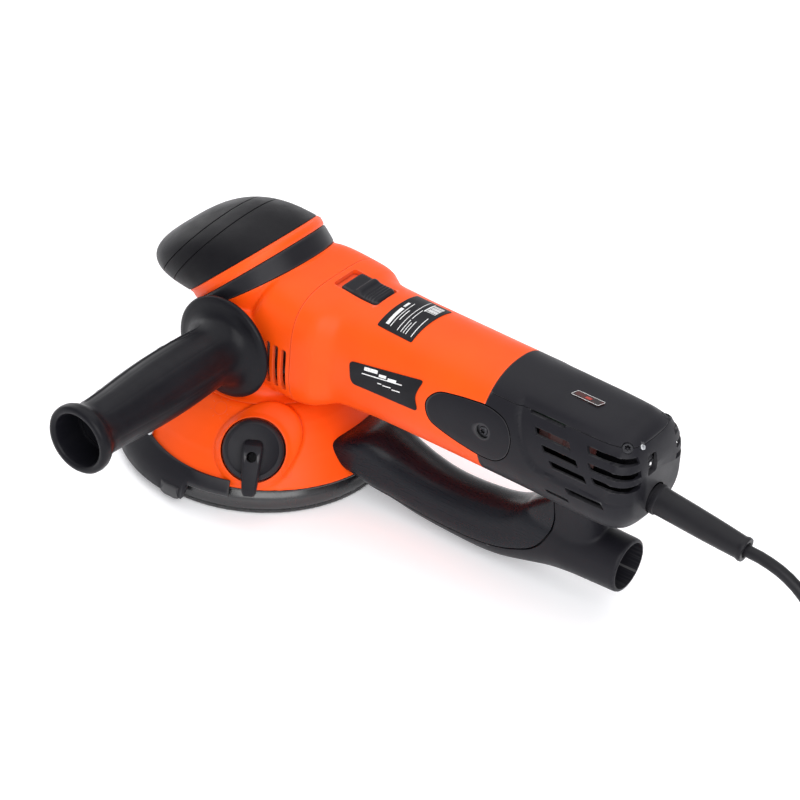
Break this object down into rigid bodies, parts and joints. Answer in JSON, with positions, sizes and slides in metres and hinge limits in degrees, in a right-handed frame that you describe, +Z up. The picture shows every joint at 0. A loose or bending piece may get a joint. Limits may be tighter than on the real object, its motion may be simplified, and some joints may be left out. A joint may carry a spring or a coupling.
{
  "type": "rotary polisher",
  "caption": "Corded right-angle polisher: round pad under a flared dust skirt, domed head, side handle, barrel motor and dust outlet duct.",
  "frame": {"origin": "centre of the pad's working face, which rests on the floor", "axes": "+Z up along the pad's axis, +X back along the motor to the cable; the side handle points along -Y"},
  "size_m": [0.5797, 0.2523, 0.1444],
  "materials": {
    "orange_plastic": "satin moulded plastic",
    "charcoal_plastic": "fine matte moulded plastic",
    "black_rubber": "soft matte rubber",
    "foam_rubber": "matte foam skin",
    "hook_fabric": "fuzzy hook pile",
    "gloss_black": "glossy moulded plastic",
    "plate_black": "smooth printed plate",
    "smoked_lens": "smoked clear plastic",
    "cast_aluminium": "as cast",
    "steel": "machined",
    "copper": "copper, satin",
    "brass": "drawn brass",
    "carbon": "pressed carbon, matte",
    "circuit_board": "solder mask"
  },
  "bodies": {
    "tool": {"gear_housing": "orange_plastic", "motor_housing": "orange_plastic", "rear_housing": "charcoal_plastic", "rear_top_cover": "charcoal_plastic", "led_lens": "smoked_lens", "head_cap": "black_rubber", "accent_ring": "orange_plastic", "cap_band": "charcoal_plastic", "dust_skirt": "orange_plastic", "edge_guard": "charcoal_plastic", "side_handle": "black_rubber", "handle_stud": "steel", "dust_duct": "charcoal_plastic", "duct_grip": "gloss_black", "nameplate_left": "plate_black", "nameplate_right": "plate_black", "brush_cover_left": "charcoal_plastic", "brush_cover_right": "charcoal_plastic", "brush_cover_screw_left": "steel", "brush_cover_screw_right": "steel", "rating_label": "plate_black", "rear_screw_left": "steel", "rear_screw_right": "steel", "cable_sleeve": "black_rubber", "cord_tube": "black_rubber", "cord_coil": "black_rubber", "cord_tie": "black_rubber", "plug_body": "black_rubber", "plug_pin_1": "brass", "plug_pin_2": "brass", "gear_case": "cast_aluminium", "front_motor_bearing": "steel", "rear_motor_bearing": "steel", "spindle_bearing_lower": "steel", "spindle_bearing_upper": "steel", "stator_core": "steel", "field_coil_upper": "copper", "field_coil_lower": "copper", "brush_holder_left": "brass", "brush_holder_right": "brass", "carbon_brush_left": "carbon", "carbon_brush_right": "carbon", "control_board": "circuit_board", "switch_body": "charcoal_plastic"},
    "spindle": {"eccentric_spindle": "steel", "bevel_gear": "steel", "pad_bearing": "steel"},
    "pad": {"pad_spindle": "steel", "pad_stud": "steel", "pad_plate": "charcoal_plastic", "pad_foam": "foam_rubber", "hook_face": "hook_fabric"},
    "rotor": {"motor_shaft": "steel", "bevel_pinion": "steel", "rotor_core": "steel", "commutator": "copper", "cooling_fan": "charcoal_plastic"},
    "mode_knob": {"mode_knob": "charcoal_plastic"},
    "switch_slider": {"switch_slider": "charcoal_plastic"},
    "speed_dial": {"speed_dial": "charcoal_plastic"}
  },
  "joints": [
    {"name": "spindle_spin", "type": "hinge", "parent": "tool", "child": "spindle", "pos_m": [0.003, 0, 0.06], "axis": [0, 0, 1], "continuous": true},
    {"name": "pad_spin", "type": "hinge", "parent": "spindle", "child": "pad", "pos_m": [0, 0, 0.03], "axis": [0, 0, 1], "continuous": true},
    {"name": "motor_spin", "type": "hinge", "parent": "tool", "child": "rotor", "pos_m": [0.1, 0, 0.0943], "axis": [1, 0, 0], "continuous": true},
    {"name": "mode_knob_turn", "type": "hinge", "parent": "tool", "child": "mode_knob", "pos_m": [0.03733, -0.05389, 0.03505], "axis": [0.4333, -0.6801, 0.5914], "range_deg": [-139, 56]},
    {"name": "switch_slide", "type": "slide", "parent": "tool", "child": "switch_slider", "axis": [-1, 0, 0], "range_m": [0, 0.0045]},
    {"name": "speed_dial_turn", "type": "hinge", "parent": "tool", "child": "speed_dial", "pos_m": [0.2448, -0.007, 0.1045], "axis": [0, 1, 0], "range_deg": [-135, 135]}
  ],
  "couplings": [
    {"joint": "motor_spin", "follows": "spindle_spin", "ratio": 3}
  ]
}
